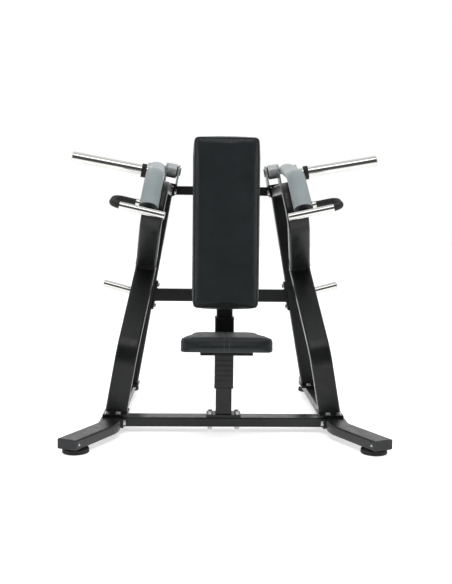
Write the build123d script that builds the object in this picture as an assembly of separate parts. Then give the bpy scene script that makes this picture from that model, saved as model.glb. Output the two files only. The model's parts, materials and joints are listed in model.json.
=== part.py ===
"""Plate-loaded shoulder press with two independent press arms.

Millimetres, +Z up, the user sits facing -Y. The origin is on the floor under the middle of
the frame. Each side frame leans inward, so its tubes are drawn in a leaning plane whose
coordinates are (y, s, a): y runs backward, s up the lean and a outward.
"""
import os
from math import atan2, cos, radians, sin, tan

from build123d import *

# ---------------------------------------------------------------- driving dimensions
LEAN = 10.0                                  # side frames lean inward by this much
SIDES = {"right": 1, "left": -1}
GAP = 0.3                                    # clearance between pieces that move apart

FOOT_H, FOOT_R = 24, 54
TREAD_H, FOOT_NECK_R, TREAD_CHAMFER = 18, 38, 3
RAIL_W, RAIL_H = 90, 42
RAIL_X = 494                                 # middle of the straight part of a rail
RAIL_BACK, RAIL_BEND, RAIL_BEND_R, RAIL_R = 691.4, -400, 140, 6
RAIL_TIP = (627, -672)                       # middle of the splayed front end
RAIL_TOP = FOOT_H + RAIL_H
CAP_T = 4

TUBE_W, TUBE_D, TUBE_R, WALL = 95, 50, 9, 4  # side frame tubes: across, fore and aft
SIDE_X = 491.7                               # leaning plane meets the floor here
PLATE_T = 12
PLATE_TOP = RAIL_TOP + PLATE_T
LEG_Y, REAR_Y = -237, 425
LEG_BEND, KINK = (LEG_Y, 355), (64, 716)     # (y, s) on the tube's middle line
BULGE, CROWN = (-212, 956), (-130, 1105)
ARCH_R, TOP_JOINT_Y = 85, 20                 # the arch's bends; where it meets the top tube
TOP_S = CROWN[1] + TUBE_D / 2                # top face of the top tube

BEAM_D, BEAM_Y = 84, -258                    # base crossbeam
END_PLATE_T = 10
CROSS_D = 40                                 # lower and upper crossbeams
LOWER_Z, LOWER_H = 544, 65
UPPER_Z, UPPER_H = 1084, 45

POST_W, POST_R, POST_TOP = 70, 6, 1150
BRACE_W, BRACE_H = 60, 40

PAD_W, PAD_H, PAD_T = 286, 735, 62
PAD_BACK, PAD_FOOT_Z, PAD_TILT = -335, 554, 3.0
BOARD_T, BOARD_INSET = 12, 25
PAD_EDGE_R, PAD_CORNER_R, BOARD_CORNER_R = 14, 18, 10

PIVOT = (350, 1205)                          # (y, s) of the arm's axis
DRUM_R, JOURNAL_R, BEARING_R = 36, 18, 24
INNER_PLATE, OUTER_PLATE = (-66, -58), (-4, 4)
SEAL_T = 6                                   # plastic seal between the drum and the inner cheek
ARM_W, ARM_H = 82, 52                        # arm beam, an oval tube
ARM_A = 48                                   # its offset from the leaning plane at the pivot
TOE = 2.9                                    # the arm turns inward towards its front end
ARM_BEND, ARM_END = (-521, -54), (-695, -206)
HORN_AT, HORN_LEN, HORN_R = -460, 335, 25
COLLAR_T, COLLAR_R, BOSS_R = 22, 31, 27
BAR_R, CORE_R, GRIP_R, BAR_FILLET = 15.5, 12, 14.5, 34
BAR_TILT = 2.5                               # the bars rise outward by this much more
BAR_Y, LEG_OF_LOOP_Y = -440, -332
BAR_S, LOOP_S, LOOP_A = 982, 1010, 160

SLEEVE_W, SLEEVE_WALL = 83, 4
SLEEVE_Z = (199, 505)
SEAT_FRONT, SEAT_LEN, SEAT_T, SEAT_TILT = -637, 328, 58, 3.0
SEAT_W, SEAT_REAR_W, SEAT_TOP = 376, 276, 466
SEAT_FULL, SEAT_CORNER_R = 70, 30            # depth of the full-width front part
KNOB_Z = 408

BOLT_R, BOLT_HEX_R, BOLT_HEX_T = 6, 11, 7.8  # M12
WASHER_R, WASHER_T, HOLE_R, HOLE_DEPTH = 12, 2, 6.5, 78

ANGLE = radians(LEAN)
lean = Plane(origin=(SIDE_X, 0, 0), x_dir=(0, 1, 0), z_dir=(cos(ANGLE), 0, sin(ANGLE)))


# ---------------------------------------------------------------- shared helpers
def in_lean(y, s, a=0):
    """World point of leaning-plane coordinates."""
    return lean.from_local_coords((y, s, a))


def both(shape, side):
    """The right-hand shape as it is, or mirrored for the left."""
    return shape if SIDES[side] > 0 else mirror(shape, about=Plane.YZ)


def block(x, y, z):
    """Box from three (low, high) ranges."""
    size = [high - low for low, high in (x, y, z)]
    middle = [(high + low) / 2 for low, high in (x, y, z)]
    return Pos(*middle) * Box(*size)


def section(width, depth, corner, wall=0):
    face = RectangleRounded(width, depth, corner)
    if wall:
        inner = max(corner - wall, 1)
        face -= RectangleRounded(width - 2 * wall, depth - 2 * wall, inner)
    return face


def tube(path, width, depth, corner, across, wall=WALL):
    """Rectangular tube swept along a path; across is the direction of its width."""
    start = Plane(origin=path @ 0, x_dir=across, z_dir=path % 0)
    return sweep(start * section(width, depth, corner, wall), path=path)


def keep_above(shape, origin, normal):
    """The part of a shape on the side of a plane that its normal points to."""
    return split(shape, bisect_by=Plane(origin=origin, z_dir=normal), keep=Keep.TOP)


def rod(start, end, radius, inner=0):
    """Round bar, or tube, between two points."""
    line = Line(start, end)
    face = Circle(radius) - Circle(inner) if inner else Circle(radius)
    return extrude(Plane(origin=start, z_dir=line % 0) * face, amount=line.length)


def hex_bolt(seat, direction, shank=24):
    """M12 bolt with a washer; its head stands on seat and points along direction."""
    place = Plane(origin=seat, z_dir=direction)
    head = extrude(RegularPolygon(BOLT_HEX_R, 6), amount=BOLT_HEX_T)
    head = chamfer(head.edges().group_by(Axis.Z)[-1], 1)
    washer = Cylinder(WASHER_R, WASHER_T, align=(Align.CENTER, Align.CENTER, Align.MIN))
    stem = Cylinder(BOLT_R, shank, align=(Align.CENTER, Align.CENTER, Align.MAX))
    return place * (washer + Pos(0, 0, WASHER_T) * head + stem)


def drill(shape, bolts):
    """Clearance holes, to HOLE_DEPTH each way, for bolts given as (seat, direction)."""
    for seat, direction in bolts:
        shape -= Plane(origin=seat, z_dir=direction) * Cylinder(HOLE_R, 2 * HOLE_DEPTH)
    return shape


def group(shapes):
    return Compound(children=[solid for shape in shapes for solid in shape.solids()])


parts = {}


# ---------------------------------------------------------------- base
def rail_path():
    return FilletPolyline((RAIL_X, RAIL_BACK, FOOT_H + RAIL_H / 2),
                          (RAIL_X, RAIL_BEND, FOOT_H + RAIL_H / 2),
                          (*RAIL_TIP, FOOT_H + RAIL_H / 2), radius=RAIL_BEND_R)


def plate_bolts(middle_x, middle_y, dx, dy):
    """Bolts through a foot plate, heads up."""
    return [((middle_x + i * dx, middle_y + j * dy, PLATE_TOP), (0, 0, 1))
            for i in (-1, 1) for j in (-1, 1)]


FOOT_PLATE_X = SIDE_X - PLATE_TOP * tan(ANGLE)
FOOT_PLATE = (54, 65)                        # half sizes, then the bolts' offsets
FOOT_BOLTS, BOLTS_OUT = (24, 46), 11
POST_PLATE, POST_BOLTS = (76, 42), (60, 27)
BEAM_END, BEAM_BOLTS = 72, 57
upright_bolts = [bolt for y in (LEG_Y, REAR_Y)
                 for bolt in plate_bolts(FOOT_PLATE_X + BOLTS_OUT, y, *FOOT_BOLTS)]
beam_end_bolts = [((RAIL_X - RAIL_W / 2 - END_PLATE_T, BEAM_Y + j * BEAM_BOLTS, FOOT_H + RAIL_H / 2),
                   (-1, 0, 0)) for j in (-1, 1)]

path = rail_path()
rail = tube(path, RAIL_W, RAIL_H, RAIL_R, (1, 0, 0))
rail = drill(drill(rail, upright_bolts), beam_end_bolts)
front_cap = Plane(origin=path @ 1, x_dir=(path % 1).cross(Vector(0, 0, 1)), z_dir=path % 1)
back_cap = Plane(origin=path @ 0, x_dir=(1, 0, 0), z_dir=(path % 0) * -1)
rail_caps = [place * extrude(RectangleRounded(RAIL_W, RAIL_H, RAIL_R), amount=CAP_T)
             for place in (front_cap, back_cap)]


def foot(x, y):
    """Rubber foot with a chamfered tread and a steel cup."""
    upward = (Align.CENTER, Align.CENTER, Align.MIN)
    tread = Pos(x, y, 0) * Cylinder(FOOT_R, TREAD_H, align=upward)
    tread = chamfer(tread.edges().group_by(Axis.Z)[0], TREAD_CHAMFER)
    return tread + Pos(x, y, TREAD_H) * Cylinder(FOOT_NECK_R, FOOT_H - TREAD_H, align=upward)


FEET = {"front": (602, -622), "rear": (RAIL_X, 625)}
for side in SIDES:
    parts[f"base_rail_{side}"] = both(rail, side)
    for end, (x, y) in FEET.items():
        parts[f"{end}_foot_{side}"] = both(foot(x, y), side)


def flat_plate(x, y, half):
    """Plate on top of the base about (x, y)."""
    return block((x - half[0], x + half[0]), (y - half[1], y + half[1]), (RAIL_TOP, PLATE_TOP))


foot_plate = [drill(flat_plate(FOOT_PLATE_X, y, FOOT_PLATE), upright_bolts) for y in (LEG_Y, REAR_Y)]
post_bolts = plate_bolts(0, BEAM_Y, *POST_BOLTS)
post_plate = flat_plate(0, BEAM_Y, POST_PLATE)
parts["foot_plates"] = group([both(plate, side) for side in SIDES for plate in foot_plate]
                             + [drill(post_plate, post_bolts)])


# ---------------------------------------------------------------- side frames
def flat_path(*points, radius):
    """Filleted path in the leaning plane."""
    return lean * FilletPolyline(*[(y, s, 0) for y, s in points], radius=radius)


def unit(start, end):
    return (Vector(*end) - Vector(*start)).normalized()


def mitre(before, corner, after):
    """Plane across a corner between two tubes, as a world point and a direction."""
    middle = unit(before, corner) + unit(corner, after)
    return in_lean(*corner), lean.from_local_coords((middle.X, middle.Y, 0)) - lean.origin


def beyond(start, end, extra):
    """A point past end on the line from start."""
    point = Vector(*end) + unit(start, end) * extra
    return point.X, point.Y


OUTWARD = lean.z_dir
at_kink, along_kink = mitre(LEG_BEND, KINK, BULGE)

BELOW, OVERRUN, LEG_BEND_R = 20, 60, 150     # where uprights start; spare length to trim
leg = tube(flat_path((LEG_Y, BELOW), LEG_BEND, beyond(LEG_BEND, KINK, OVERRUN), radius=LEG_BEND_R),
           TUBE_W, TUBE_D, TUBE_R, OUTWARD)
leg = keep_above(leg, (0, 0, PLATE_TOP), (0, 0, 1))
leg = keep_above(leg, at_kink, along_kink * -1)

arch = tube(flat_path(beyond(BULGE, KINK, OVERRUN), BULGE, CROWN, (TOP_JOINT_Y, CROWN[1]),
                      radius=ARCH_R), TUBE_W, TUBE_D, TUBE_R, OUTWARD)
arch = keep_above(arch, at_kink, along_kink)

top_line = Line(in_lean(TOP_JOINT_Y, CROWN[1]), in_lean(REAR_Y + TUBE_D / 2, CROWN[1]))
top_tube = tube(top_line, TUBE_W, TUBE_D, TUBE_R, OUTWARD)

rear_line = Line(in_lean(REAR_Y, BELOW), in_lean(REAR_Y, CROWN[1] - TUBE_D / 2))
rear = keep_above(tube(rear_line, TUBE_W, TUBE_D, TUBE_R, OUTWARD), (0, 0, PLATE_TOP), (0, 0, 1))

top_cap = Plane(origin=in_lean(REAR_Y + TUBE_D / 2, CROWN[1]), x_dir=OUTWARD, z_dir=(0, 1, 0))
rail_caps.append(top_cap * extrude(RectangleRounded(TUBE_W, TUBE_D, TUBE_R), amount=CAP_T))


# ---------------------------------------------------------------- crossbeams
def leaning_plate(y, s, thickness=END_PLATE_T):
    """Plate on the inner face of the side frame over (low, high) ranges of y and s."""
    a = (-TUBE_W / 2 - thickness, -TUBE_W / 2)
    return lean * block(y, s, a)


BEAM_R = 5


def cross_tube(y, z, height, depth, half):
    """Tube from side to side, half being the flat or leaning cut at its right end."""
    line = Line((-SIDE_X, y, z), (SIDE_X, y, z))
    beam = tube(line, depth, height, BEAM_R, (0, 1, 0))
    for sign in (1, -1):
        point, normal = half
        beam = keep_above(beam, (point[0] * sign, point[1], point[2]), (normal[0] * sign, 0, normal[2]))
    return beam


flat_cut = ((RAIL_X - RAIL_W / 2 - END_PLATE_T, 0, 0), (-1, 0, 0))
cut_at = in_lean(0, 0, -TUBE_W / 2 - END_PLATE_T)
lean_cut = ((cut_at.X, 0, cut_at.Z), (-cos(ANGLE), 0, -sin(ANGLE)))

base_beam = cross_tube(BEAM_Y, FOOT_H + RAIL_H / 2, RAIL_H, BEAM_D, flat_cut)
parts["base_crossbeam"] = drill(base_beam, post_bolts)
parts["lower_crossbeam"] = cross_tube(REAR_Y, LOWER_Z, LOWER_H, CROSS_D, lean_cut)
parts["upper_crossbeam"] = cross_tube(REAR_Y, UPPER_Z, UPPER_H, CROSS_D, lean_cut)

LOWER_S = LOWER_Z / cos(ANGLE) + TUBE_W / 2 * tan(ANGLE)
LOWER_END, LOWER_BOLTS, UPPER_END, UPPER_BOLT = 75, 56, 55, 38
bolt_places = [(REAR_Y, LOWER_S - LOWER_BOLTS), (REAR_Y, LOWER_S + LOWER_BOLTS),
               (REAR_Y - UPPER_BOLT, CROWN[1])]
leaning_bolts = [(in_lean(y, s, -TUBE_W / 2 - END_PLATE_T), OUTWARD * -1) for y, s in bolt_places]
base_end = block((RAIL_X - RAIL_W / 2 - END_PLATE_T, RAIL_X - RAIL_W / 2),
                 (BEAM_Y - BEAM_END, BEAM_Y + BEAM_END), (FOOT_H, RAIL_TOP))
half = TUBE_D / 2
lower_end = leaning_plate((REAR_Y - half, REAR_Y + half), (LOWER_S - LOWER_END, LOWER_S + LOWER_END))
upper_end = leaning_plate((REAR_Y - UPPER_END, REAR_Y + half), (CROWN[1] - half, CROWN[1] + half))
end_plates = [drill(base_end, beam_end_bolts)]
end_plates += [drill(plate, leaning_bolts) for plate in (lower_end, upper_end)]
parts["crossbeam_end_plates"] = group([both(plate, side) for side in SIDES for plate in end_plates])

side_bolts = [hex_bolt(*bolt) for bolt in upright_bolts]
side_bolts += [hex_bolt(*bolt, shank=14) for bolt in beam_end_bolts + leaning_bolts]
NUT_R, NUT_T, THREAD_R = 11, 10, 6
post_studs = [hex_bolt(*bolt, shank=PLATE_TOP - FOOT_H + NUT_T + 2) for bolt in post_bolts]
nut = extrude(RegularPolygon(NUT_R, 6) - Circle(THREAD_R), amount=NUT_T)
post_nuts = [Pos(seat[0], seat[1], FOOT_H - NUT_T) * nut for seat, _ in post_bolts]
parts["frame_bolts"] = group([both(bolt, side) for side in SIDES for bolt in side_bolts]
                             + post_studs + post_nuts)

leg, rear, top_tube = (drill(shape, leaning_bolts) for shape in (leg, rear, top_tube))


# ---------------------------------------------------------------- seat post and braces
POST_FRONT, POST_BACK = BEAM_Y - POST_W / 2, BEAM_Y + POST_W / 2
post_line = Line((0, BEAM_Y, PLATE_TOP), (0, BEAM_Y, POST_TOP))
parts["seat_post"] = tube(post_line, POST_W, POST_W, POST_R, (1, 0, 0))
post_cap = Pos(0, BEAM_Y, POST_TOP) * extrude(RectangleRounded(POST_W, POST_W, POST_R), amount=CAP_T)
LOWER_BRACE_Z = LOWER_Z + LOWER_H / 2 + BRACE_H / 2
brace_ends = {"lower_brace": (LOWER_BRACE_Z, REAR_Y + CROSS_D / 2),
              "upper_brace": (UPPER_Z, REAR_Y - CROSS_D / 2)}
for name, (z, back) in brace_ends.items():
    brace_line = Line((0, POST_BACK, z), (0, back, z))
    parts[name] = tube(brace_line, BRACE_W, BRACE_H, BEAM_R, (1, 0, 0))

# ---------------------------------------------------------------- back pad
pad_plane = Plane(origin=(0, PAD_BACK, PAD_FOOT_Z), x_dir=(1, 0, 0),
                  z_dir=(0, -cos(radians(PAD_TILT)), sin(radians(PAD_TILT))))


def padded(outline, board, thickness):
    """Pad with a board let into its back; returns both, in the pad's own plane."""
    cushion = extrude(outline, amount=thickness)
    cushion = fillet(cushion.edges().group_by(Axis.Z)[-1], PAD_EDGE_R)
    plank = extrude(board, amount=BOARD_T)
    return cushion - plank, plank


back_outline = Pos(0, PAD_H / 2) * RectangleRounded(PAD_W, PAD_H, PAD_CORNER_R)
back_board = Pos(0, PAD_H / 2) * RectangleRounded(PAD_W - 2 * BOARD_INSET, PAD_H - 2 * BOARD_INSET,
                                                  BOARD_CORNER_R)
cushion, plank = padded(back_outline, back_board, PAD_T)
parts["back_pad"] = pad_plane * cushion
parts["back_board"] = pad_plane * plank

BRACKET_Z, BRACKET_W, BRACKET_H, SHEET = (655, 1085), 110, 50, 5
EAR_W, BOLT_X, BOLT_HEAD = 190, 76, (8, 7)    # BOLT_HEAD: radius and height
EAR_REACH = 20                               # past the pad's back, then trimmed to it
pad_back_normal = pad_plane.z_dir * -1
ear_back = pad_plane.origin + pad_back_normal * SHEET
pad_brackets = []
pad_bolts = []
for z in BRACKET_Z:
    height = (z - BRACKET_H / 2, z + BRACKET_H / 2)
    depth = (PAD_BACK - EAR_REACH, POST_FRONT)
    outer = block((-BRACKET_W / 2, BRACKET_W / 2), depth, height)
    inner = block((SHEET - BRACKET_W / 2, BRACKET_W / 2 - SHEET), (depth[0], POST_FRONT - SHEET), height)
    channel = keep_above(outer - inner, pad_plane.origin, pad_back_normal)
    ear = keep_above(block((-EAR_W / 2, EAR_W / 2), depth, height), pad_plane.origin, pad_back_normal)
    ear = keep_above(ear, ear_back, pad_plane.z_dir)
    pad_brackets.append(channel + ear)
    for x in (-BOLT_X, BOLT_X):
        on_pad = Vector(x, PAD_BACK + (z - PAD_FOOT_Z) * tan(radians(PAD_TILT)), z)
        seat = on_pad + pad_back_normal * SHEET
        pad_bolts.append(rod(seat, seat + pad_back_normal * BOLT_HEAD[1], BOLT_HEAD[0]))
parts["pad_brackets"] = group(pad_brackets)
parts["pad_bolts"] = group(pad_bolts)

# ---------------------------------------------------------------- pivots
AXIS = lean.z_dir


def along_axis(a, radius, inner=0):
    """Round piece about the arm's axis over an (inboard, outboard) range."""
    return rod(in_lean(*PIVOT, a[0]), in_lean(*PIVOT, a[1]), radius, inner)


BASE_T, BASE_L, CHEEK_R = 10, 100, 34
CHEEK_FOOT = TOP_S + BASE_T


def pivot_cheek(low, high):
    """Upright plate, bored for its bearing, over an (inboard, outboard) range."""
    y, s = PIVOT
    foot = BASE_L / 2 - 5
    outline = Polyline((y - foot, CHEEK_FOOT), (y + foot, CHEEK_FOOT), (y + CHEEK_R, s),
                       (y - CHEEK_R, s), close=True)
    cheek = extrude(make_face(outline), amount=high - low)
    cheek += Pos(y, s) * Cylinder(CHEEK_R, high - low, align=(Align.CENTER, Align.CENTER, Align.MIN))
    return lean * (Pos(0, 0, low) * cheek) - along_axis((low - 1, high + 1), BEARING_R)


bracket = lean * block((PIVOT[0] - BASE_L / 2, PIVOT[0] + BASE_L / 2), (TOP_S, CHEEK_FOOT),
                       (INNER_PLATE[0], OUTER_PLATE[1]))
cheeks = [pivot_cheek(*plate) for plate in (INNER_PLATE, OUTER_PLATE)]
BEARING_PLAY = 0.05
bearings = [along_axis(a, BEARING_R, JOURNAL_R + BEARING_PLAY) for a in (INNER_PLATE, OUTER_PLATE)]

# ---------------------------------------------------------------- rest stops
STOP_Y, STOP_A, STOP_R = -60, 20, 15
ARM_DROP = ARM_BEND[1] / ARM_BEND[0]


def arm_underside(y):
    """Height s of the arm's lower face at rest."""
    return PIVOT[1] - (PIVOT[0] - y) * ARM_DROP - ARM_H / 2 / cos(atan2(ARM_BEND[1], -ARM_BEND[0]))


stop_height = arm_underside(STOP_Y - STOP_R) - TOP_S - GAP
stop_middle = Pos(STOP_Y, TOP_S + stop_height / 2, STOP_A)
bumper = lean * (stop_middle * Rot(90, 0, 0) * Cylinder(STOP_R, stop_height))

# ---------------------------------------------------------------- storage horns
STORE_S, STORE_LEN, STORE_R, STORE_TILT = 557, 172, 21, 15.0
store_root = in_lean(REAR_Y, STORE_S, TUBE_W / 2)
store_dir = Vector(cos(radians(STORE_TILT)), 0, sin(radians(STORE_TILT)))
store_tip = store_root + store_dir * STORE_LEN
STORE_SPARE, FLANGE_T, FLANGE_R, HORN_CHAMFER = 12, 8, 32, 3
store_start = store_root - store_dir * STORE_SPARE
storage_horn = rod(store_start, store_tip, STORE_R)
storage_horn = chamfer(storage_horn.edges().sort_by(Axis.X)[-1], HORN_CHAMFER)
storage_flange = rod(store_start, store_root + store_dir * FLANGE_T, FLANGE_R)
storage_horn = keep_above(storage_horn + storage_flange, store_root, OUTWARD)

for side in SIDES:
    parts[f"front_leg_{side}"] = both(leg, side)
    parts[f"upper_arch_{side}"] = both(arch, side)
    parts[f"top_tube_{side}"] = both(top_tube, side)
    parts[f"rear_upright_{side}"] = both(rear, side)
    parts[f"pivot_bracket_{side}"] = both(bracket, side)
    parts[f"pivot_cheeks_{side}"] = both(group(cheeks), side)
    parts[f"storage_horn_{side}"] = both(storage_horn, side)
parts["pivot_bearings"] = group([both(ring, side) for side in SIDES for ring in bearings])
parts["stop_bumpers"] = group([both(bumper, side) for side in SIDES])
parts["frame_end_caps"] = group([both(cap, side) for side in SIDES for cap in rail_caps] + [post_cap])

# ---------------------------------------------------------------- press arms
toe = radians(TOE)
arm_back = Vector(0, cos(toe), 0) + AXIS * sin(toe)
arm_out = AXIS * cos(toe) - Vector(0, sin(toe), 0)
arm = Plane(origin=in_lean(*PIVOT, ARM_A), x_dir=arm_back, z_dir=arm_out)


def in_arm(p, q, r=0):
    """World point of arm coordinates: p backward, q up and r outward."""
    return arm.from_local_coords((p, q, r))


def arm_height(p):
    """Middle line of the arm's straight part."""
    return p * ARM_DROP


TAIL, ARM_BEND_R = 48, 90
arm_path = arm * FilletPolyline((TAIL, arm_height(TAIL), 0), (*ARM_BEND, 0), (*ARM_END, 0),
                                radius=ARM_BEND_R)
arm_start = Plane(origin=arm_path @ 0, x_dir=arm.z_dir, z_dir=arm_path % 0)
beam_solid = sweep(arm_start * Ellipse(ARM_W / 2, ARM_H / 2), path=arm_path)
beam_face = Ellipse(ARM_W / 2, ARM_H / 2) - Ellipse(ARM_W / 2 - WALL, ARM_H / 2 - WALL)
beam = sweep(arm_start * beam_face, path=arm_path)

AXLE_END = ARM_A + ARM_W / 2 + 6
AXLE_PROUD, SPACER_T, SPACER_R = 3, 3, JOURNAL_R + 5
axle = along_axis((INNER_PLATE[1] + SEAL_T, OUTER_PLATE[0] - GAP), DRUM_R)
axle += along_axis((INNER_PLATE[0] - AXLE_PROUD, AXLE_END), JOURNAL_R)
axle += along_axis((OUTER_PLATE[1] + GAP, OUTER_PLATE[1] + GAP + SPACER_T), SPACER_R)
beam -= along_axis((OUTER_PLATE[1], AXLE_END + 10), JOURNAL_R)
beam -= along_axis((OUTER_PLATE[1], OUTER_PLATE[1] + GAP + SPACER_T), SPACER_R + 1)

horn_root = in_arm(HORN_AT, arm_height(HORN_AT), ARM_W / 2)
horn_dir = arm.z_dir
in_beam = horn_root - horn_dir * (ARM_W / 2)
horn = rod(in_beam, horn_root + horn_dir * HORN_LEN, HORN_R)
horn = chamfer(horn.edges().sort_by(Axis.X)[-1], HORN_CHAMFER)
horn += rod(horn_root, horn_root + horn_dir * COLLAR_T, BOSS_R)
HORN_FACE = 8                                # closed outer end
horn -= rod(in_beam, horn_root + horn_dir * (HORN_LEN - HORN_FACE), HORN_R - WALL)
horn -= beam_solid
collar = rod(horn_root, horn_root + horn_dir * COLLAR_T, COLLAR_R, BOSS_R)


# handle loop, in leaning-plane coordinates (y, s, a)
def bar_s(s, a):
    """Height of a bar that rises outward."""
    return s + (a - LOOP_A / 2) * tan(radians(BAR_TILT))


LOOP_ROOT_A, BAR_INNER_A, ROOT_OUT = 40, -58, 14
loop_points = [in_lean(BAR_Y, bar_s(BAR_S, BAR_INNER_A), BAR_INNER_A),
               in_lean(BAR_Y, bar_s(BAR_S, LOOP_A), LOOP_A),
               in_lean(LEG_OF_LOOP_Y, bar_s(LOOP_S, LOOP_A), LOOP_A),
               in_lean(LEG_OF_LOOP_Y, bar_s(LOOP_S, LOOP_ROOT_A), LOOP_ROOT_A)]
BAR_WALL, ROOT_RING, RING_R, BAR_CAP, RING_TO_GRIP = 2.5, 12, 16, 3, 5
bore = CORE_R - BAR_WALL


def along(path, outer, inner):
    """Round tube along a path."""
    return sweep(Plane(origin=path @ 0, z_dir=path % 0) * (Circle(outer) - Circle(inner)), path=path)


# a thick straight bar in front, then a thinner bent tube that carries the grip
front_edge, *bent_edges = FilletPolyline(*loop_points, radius=BAR_FILLET).edges()
bar_line = (loop_points[1] - loop_points[0]).normalized()
bar_outer = loop_points[0] + bar_line * front_edge.length
root_dir = (loop_points[2] - loop_points[3]).normalized()
root_face = loop_points[3] + root_dir * ROOT_OUT
handle = along(Wire(bent_edges), CORE_R, bore)
handle += rod(loop_points[0], bar_outer, BAR_R, BAR_R - BAR_WALL)
handle += rod(bar_outer - bar_line * BAR_CAP, bar_outer, BAR_R, bore)
handle += rod(root_face, root_face + root_dir * ROOT_RING, RING_R, bore)
handle -= beam_solid

grip_end = root_face + root_dir * (ROOT_RING + RING_TO_GRIP)
*grip_edges, _ = bent_edges
grip_edges.append(Line(grip_edges[-1] @ 1, grip_end).edge())
grip = along(Wire(grip_edges), GRIP_R, CORE_R)

# bracket from the arm's front end to the bar
MOUNT_W, MOUNT_T, MOUNT_LAP, MOUNT_A = 44, 14, 70, 14
INTO_ARM = 6                                 # starts inside the oval beam, then is cut to it
bar_local = arm.to_local_coords(in_lean(BAR_Y, bar_s(BAR_S, MOUNT_A), MOUNT_A))
end_dir = unit(ARM_BEND, ARM_END)
under = Vector(-end_dir.Y, end_dir.X)          # square to the arm's front end, pointing down
heel = Vector(*ARM_END) + under * (ARM_H / 2)
heel_back = heel - end_dir * MOUNT_LAP
into_arm = under * -INTO_ARM
edge = under * MOUNT_T
bar_top, bar_low = (Vector(bar_local.X, bar_local.Y + j * (BAR_R - 4)) for j in (1, -1))
corners = [heel_back + into_arm, heel + into_arm, bar_top, bar_low, heel + edge, heel_back]
mount_outline = Polyline(*[(corner.X, corner.Y) for corner in corners], close=True)
mount = arm * extrude(make_face(mount_outline), amount=MOUNT_W / 2, both=True)
mount -= rod(loop_points[0], bar_outer, BAR_R)
mount -= beam_solid

tail_plug = Plane(origin=arm_path @ 0, x_dir=arm.z_dir, z_dir=(arm_path % 0) * -1)
nose_plug = Plane(origin=arm_path @ 1, x_dir=arm.z_dir, z_dir=arm_path % 1)
plug_face = Ellipse(ARM_W / 2, ARM_H / 2)
plugs = [place * extrude(plug_face, amount=CAP_T) for place in (tail_plug, nose_plug)]
handle -= plugs[1]
mount -= plugs[1]
BAR_PLUG, AXLE_CAP_T, LIP = 5, 3, 3
plugs.append(rod(loop_points[0] - bar_line * BAR_PLUG, loop_points[0], BAR_R))
axle_cap = INNER_PLATE[0] - AXLE_PROUD
plugs.append(along_axis((axle_cap - AXLE_CAP_T, axle_cap), JOURNAL_R + LIP))
plugs.append(along_axis((INNER_PLATE[1] + GAP, INNER_PLATE[1] + SEAL_T), BEARING_R + LIP, JOURNAL_R))

for side in SIDES:
    parts[f"arm_beam_{side}"] = both(beam, side)
    parts[f"arm_axle_{side}"] = both(axle, side)
    parts[f"weight_horn_{side}"] = both(horn, side)
    parts[f"horn_collar_{side}"] = both(collar, side)
    parts[f"handle_mount_{side}"] = both(mount, side)
    parts[f"handle_bar_{side}"] = both(handle, side)
    parts[f"handle_grip_{side}"] = both(grip, side)
    parts[f"arm_plugs_{side}"] = both(group(plugs), side)

# ---------------------------------------------------------------- seat carriage
SLEEVE_FRONT = BEAM_Y - SLEEVE_W / 2
SLEEVE_R, BUSH_L, SLIDE_PLAY = 7, 32, 0.08
RIB_Z, RIB_PITCH, RIB_COUNT, RIB_H, RIB_PROUD = 225, 22.5, 6, 11, 5
RACK_Z, RACK_HALF, RACK_T = (212, 350), SLEEVE_W / 2 - 6, 3
NUT_OUT, SCREW_NUT_R, SCREW_R, SCREW_PLAY = 14, 15, 8, 0.05

sleeve_line = Line((0, BEAM_Y, SLEEVE_Z[0]), (0, BEAM_Y, SLEEVE_Z[1]))
sleeve = tube(sleeve_line, SLEEVE_W, SLEEVE_W, SLEEVE_R, (1, 0, 0), wall=SLEEVE_WALL)
knob_seat = (SLEEVE_W / 2, BEAM_Y, KNOB_Z)
nut_end = (SLEEVE_W / 2 + NUT_OUT, BEAM_Y, KNOB_Z)
sleeve += rod(knob_seat, nut_end, SCREW_NUT_R)
sleeve -= rod((POST_W / 2, BEAM_Y, KNOB_Z), nut_end, SCREW_R + SCREW_PLAY)
parts["seat_sleeve"] = sleeve

rack = block((-RACK_HALF, RACK_HALF), (SLEEVE_FRONT - RACK_T, SLEEVE_FRONT), RACK_Z)
for z in [RIB_Z + i * RIB_PITCH for i in range(RIB_COUNT)]:
    rack += block((-RACK_HALF, RACK_HALF), (SLEEVE_FRONT - RIB_PROUD, SLEEVE_FRONT - RACK_T),
                  (z - RIB_H / 2, z + RIB_H / 2))
parts["height_rack"] = rack

bush_in = POST_W / 2 + SLIDE_PLAY
bush_out = SLEEVE_W / 2 - SLEEVE_WALL
bush_face = RectangleRounded(2 * bush_out, 2 * bush_out, SLEEVE_R - SLEEVE_WALL)
bush_face -= RectangleRounded(2 * bush_in, 2 * bush_in, POST_R - SLIDE_PLAY)
bushes = [Pos(0, BEAM_Y, z) * extrude(bush_face, amount=BUSH_L)
          for z in (SLEEVE_Z[0], SLEEVE_Z[1] - BUSH_L)]
parts["sleeve_bushes"] = group(bushes)

seat_plane = Plane(origin=(0, SEAT_FRONT, SEAT_TOP - SEAT_T), x_dir=(1, 0, 0),
                   z_dir=(0, sin(radians(SEAT_TILT)), cos(radians(SEAT_TILT))))


def seat_outline(inset=0):
    """Seat plan: wide front, narrower rounded rear."""
    front, rear = SEAT_W / 2 - inset, SEAT_REAR_W / 2 - inset
    near, far = inset, SEAT_LEN - inset
    full = near + SEAT_FULL
    corners = Polyline((-front, near), (front, near), (front, full), (rear, far),
                       (-rear, far), (-front, full), close=True)
    return fillet(make_face(corners).vertices(), SEAT_CORNER_R - inset / 2)


cushion, plank = padded(seat_outline(), seat_outline(BOARD_INSET), SEAT_T)
parts["seat_pad"] = seat_plane * cushion
parts["seat_board"] = seat_plane * plank

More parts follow.
